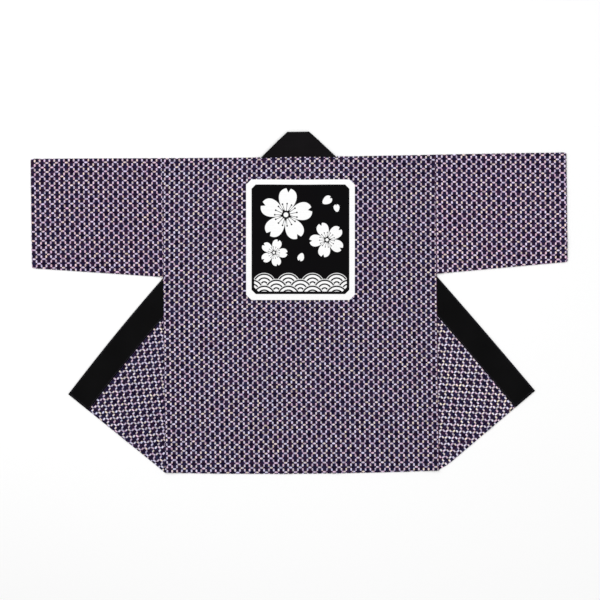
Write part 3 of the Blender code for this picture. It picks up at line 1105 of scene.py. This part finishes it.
def makeBandSide(side, hand):
    foot, along, inward = mitre(1)
    left, right = bandEdge, coat["neckHalf"] - slack
    half = layers["halfFold"]
    bm = flatCloth(left, right, coat["hemY"], coat["collarTopY"], coat["bandCell"])
    creaseFold(bm)
    top = foot + inward * (mitreReach + layers["turnUnder"] + seam)
    crease(bm, top, inward)
    trim(bm, lambda x, y: (Vector((x, y)) - top).dot(inward) < 0)
    tail = foldMeets(top, along) - layers["tailShort"]
    crease(bm, foldFoot + foldUp * tail, foldUp)
    trim(bm, lambda x, y: foldDistance(x, y)[0] < half and foldDistance(x, y)[1] > tail)

    def inFold(x, y):
        return abs(foldDistance(x, y)[0]) < half

    seamInFold = Vector((coat["neckHalf"], 0)) - half * foldOut
    notch = foldMeets(seamInFold, Vector((0, 1))) + layers["foldNotch"]
    crease(bm, foldFoot + notch * foldUp, foldUp, inFold)
    trim(bm, lambda x, y: inFold(x, y) and foldDistance(x, y)[1] < notch)

    def lay(x, y, height):
        return layFront(side, layers["band"], x, y, crowned(height, (x - left) / (right - left)))

    # Painted shade: the turned bands get the darker copy of the black cloth
    black = makeBlackCotton("blackBand_" + hand, band["black"])
    made = makeUp(bm, "band_cloth_" + hand, layers["band"], lay, [black])
    low, hemRow = (coat["hemY"] + stitches[key] for key in ("bandInset", "bandHem"))
    outer, inner = left + stitches["bandInset"], right - stitches["bandInset"]
    rows = [
        ((inner, low), (inner, stitches["seamTop"])),
        ((outer, low), (outer, stitches["edgeTop"])),
        ((outer, hemRow), (inner, hemRow)),
    ]
    sewn = makeStitches("band_stitches_" + hand, layers["band"], lay, rows)
    keep(
        made, "collar_" + hand, "black_cotton", flat=(coat["bandWidth"], coat["bandLength"]),
        held="folded", rests_on=["front_" + hand], with_pieces=[sewn],
    )


def makeBandNeck():
    bend = 2 * layers["halfFold"]
    width = coat["neckHalf"] + bend + layers["turnUnder"]
    bm = flatCloth(-width, width, coat["neckY"], coat["collarTopY"], coat["neckCell"])
    for side in (-1, 1):
        foot, along, inner = mitre(side)
        start = foot + inner * mitreReach
        end = start - inner * (bend + layers["turnUnder"])

        def past(x, y, line=start, inner=inner):
            return (Vector((x, y)) - line).dot(inner) < 0

        for taken in spaced(0.0, bend, layers["bendSteps"]):
            crease(bm, start - inner * taken, inner)
        crease(bm, end, inner)
        trim(bm, lambda x, y: past(x, y, end))
        corner = start + along * (coat["neckY"] - start.y) / along.y
        crease(bm, corner, along, past)
        trim(bm, lambda x, y: past(x, y) and (Vector((x, y)) - corner).dot(along) < 0)

    def lay(x, y, height):
        height = crowned(height, (y - coat["neckY"]) / (coat["collarTopY"] - coat["neckY"]))
        foot, _, inner = mitre(-1 if x < 0 else 1)
        flat = Vector((x, y))
        beyond = (foot + inner * mitreReach - flat).dot(inner)
        if beyond <= 0:
            return Vector((x, y, backHeight(x, y) + layers["band"] / 2 + height))
        atStart = flat + inner * beyond
        high = backHeight(atStart.x, atStart.y) + layers["band"] / 2
        low = frontHeight(abs(atStart.x), atStart.y) + layers["band"] / 2
        radius = (high - low) / 2
        turn = min(beyond / bend, 1.0) * math.pi
        out = (mitreReach - layers["band"] / 2 + height) * math.sin(turn)
        point = atStart - inner * (out - max(beyond - bend, 0.0))
        return Vector((point.x, point.y, low + radius + (radius + height) * math.cos(turn)))

    # Painted light: the neck stretch gets a lighter copy of the bands' black
    black = makeBlackCotton("blackBand_neck_painted_lighter", band["neckBlackPaintedLighter"])
    made = makeUp(bm, "band_cloth_neck", layers["band"], lay, [black])
    keep(
        made, "collar_neck", "black_cotton", flat=(2 * coat["neckHalf"], coat["bandWidth"]),
        area=coat["neckArea"], held="folded", rests_on=["collar_left", "collar_right"],
    )


# Each sleeve, a flat tube. Its flat place runs round it: 0 at the shoulder fold, less on top.
sleeveRadius = layers["cloth"] + layers["gap"] / 2
wallRadius = sleeveRadius - layers["cloth"] / 2
quarter = math.pi * wallRadius / 2


def sleeveWall(x):  # middle of the lower bend, and how long the flat wall is above it
    share = (x - coat["halfWidth"]) / (coat["reach"] - coat["halfWidth"])
    low = coat["underarmY"] + share * (coat["cuffLowY"] - coat["underarmY"]) + sleeveRadius
    return low, coat["shoulderY"] - sleeveRadius - low


def halfRound(x):  # from the shoulder fold to the seam below
    return sleeveWall(x)[1] + 2 * quarter


def laySleeve(side, x, roundIt, height):
    low, wall = sleeveWall(x)
    corner = max(0.0, 1 - (coat["reach"] - x) / coat["cuffCorner"])
    taken = coat["cuffCorner"] * coat["cornerDepth"] * (1 - math.sqrt(max(0.0, 1 - corner * corner)))
    along = abs(roundIt) * (1 - 2 * taken / halfRound(x))
    low, high, wall = low + taken, low + wall - taken, wall - 2 * taken
    if roundIt <= 0 and height > 0:
        height += turnedHem(coat["reach"] - x)
    reach = wallRadius + height
    if along < quarter:
        turn = along / wallRadius
        y, rise = high + reach * math.cos(turn), reach * math.sin(turn)
    elif along < quarter + wall:
        y, rise = high - (along - quarter), reach
    else:
        turn = min((along - quarter - wall) / wallRadius, math.pi / 2)
        y, rise = low - reach * math.sin(turn), reach * math.cos(turn)
    z = frontHeight(x, min(max(y, low), high)) + sleeveRadius
    if roundIt > 0:
        return Vector((side * x, y, z - rise))
    settle = ease((high - y) / layers["settle"]) * ease((y - low) / layers["settle"])
    return Vector((side * x, y, z + rise + liftAt(topCreases, side * x, y) * settle))


def makeSleeve(side, hand, printed):
    left, right = back["edge"] + slack, coat["reach"]
    half = halfRound(left)
    bm = flatCloth(left, right, -half, half)
    for edge in (-1, 1):
        bends = spaced(0, quarter, layers["quarterSteps"])
        for step in bends:
            crease(bm, (0, edge * step), (0, 1))
        ends = [Vector((x, edge * halfRound(x))) for x in (left, right)]
        normal = Vector((ends[0] - ends[1]).yx).normalized()
        normal.x = -normal.x
        for step in bends:
            crease(bm, ends[0] - Vector((0, edge * step)), normal)
        trim(bm, lambda x, y: abs(y) > halfRound(x) and y * edge > 0)
    stations = [right - coat["cuffCorner"] * share for share in coat["cornerSteps"]]
    creaseRows(bm, columns=[*stations, *hemSteps(right, -1)])

    def onSeam(x, y):
        return abs(abs(y) - halfRound(x)) < touching

    def uvAt(x, y):
        return side * x, coat["shoulderY"] + y - dropAt(side * x, coat["shoulderY"] - abs(y))

    lay = functools.partial(laySleeve, side)
    sides = makeBothSides("printedSleeve_" + hand, **printed)
    made = makeUp(bm, "sleeve_cloth_" + hand, layers["cloth"], lay, sides, uvAt, onSeam)
    stitchX = right - hems["stitch"]
    length = sleeveWall(stitchX)[1]
    start = stitches["fromFold"]
    rows = [((stitchX, edge * start), (stitchX, edge * length)) for edge in (-1, 1)]
    sewn = makeStitches("sleeve_stitches_" + hand, layers["cloth"], lay, rows)
    keep(
        made, "sleeve_" + hand, "printed_cotton", flat=(right - left, 2 * half),
        area=(right - left) * (half + halfRound(right)), held="folded",
        rests_on=["front_" + hand], with_pieces=[sewn],
    )


makeBack()
print("laid the back")
for side, hand in ((-1, "left"), (1, "right")):
    makeFront(side, hand, prints["front_" + hand])
    makeBandSide(side, hand)
    makeSleeve(side, hand, prints["sleeve_" + hand])
    print("laid the", hand, "front, band and sleeve")
makeBandNeck()
print("laid the neck stretch")

studio = {
    "floor": (0.99, 0.99, 0.99, 1.0),
    "floorRoughness": 0.9,
    "floorHalf": 8,
    "floorZ": -0.0006,
    "world": 0.53,
    "lights": (  # name, place, power and size
        ("keyLight", (-1.2, 1.4, 2.6), 53.0, 2.6),
        ("fillLight", (1.6, -0.8, 2.8), 27.0, 3.0),
    ),
}


def makeStudio():
    bm = bmesh.new()
    bmesh.ops.create_grid(bm, x_segments=2, y_segments=2, size=studio["floorHalf"])
    bmesh.ops.translate(bm, vec=(0, 0, studio["floorZ"]), verts=bm.verts)
    mesh = toMesh(bm, "floor")
    paper, _, shader = newMaterial("studioFloor", studio["floorRoughness"], 0.0)
    shader.inputs["Base Color"].default_value = studio["floor"]
    mesh.materials.append(paper)
    show("floor", mesh)
    for name, place, power, size in studio["lights"]:
        light = bpy.data.lights.new(name, "AREA")
        light.energy, light.size = power, size
        lamp = show(name, light)
        lamp.location = place
        lamp.rotation_euler = (-Vector(place)).to_track_quat("-Z", "Y").to_euler()
    world = bpy.data.worlds.new("studioWorld")
    world.use_nodes = True
    sky = world.node_tree.nodes["Background"]
    sky.inputs["Color"].default_value = (1.0, 1.0, 1.0, 1.0)
    sky.inputs["Strength"].default_value = studio["world"]
    bpy.context.scene.world = world
    bpy.context.scene.view_settings.view_transform = "Standard"


camera = {
    "lens": 85.0,
    "sensor": 36.0,
    "view": 1.488,  # metres across the picture
    "turn": math.radians(-0.68),
    "middle": (-0.00057, 0.00657),  # along the picture's own sides
    "plane": 0.004,  # height of the cloth that is to scale
}


def makeCamera():
    data = bpy.data.cameras.new("photoCamera")
    data.lens, data.sensor_width = camera["lens"], camera["sensor"]
    made = show("photoCamera", data)
    turn = Matrix.Rotation(camera["turn"], 3, "Z")
    away = camera["view"] * camera["lens"] / camera["sensor"]
    made.location = turn @ Vector((*camera["middle"], away + camera["plane"]))
    made.rotation_euler = (0, 0, camera["turn"])
    bpy.context.scene.camera = made


makeStudio()
makeCamera()
print("lit the studio")
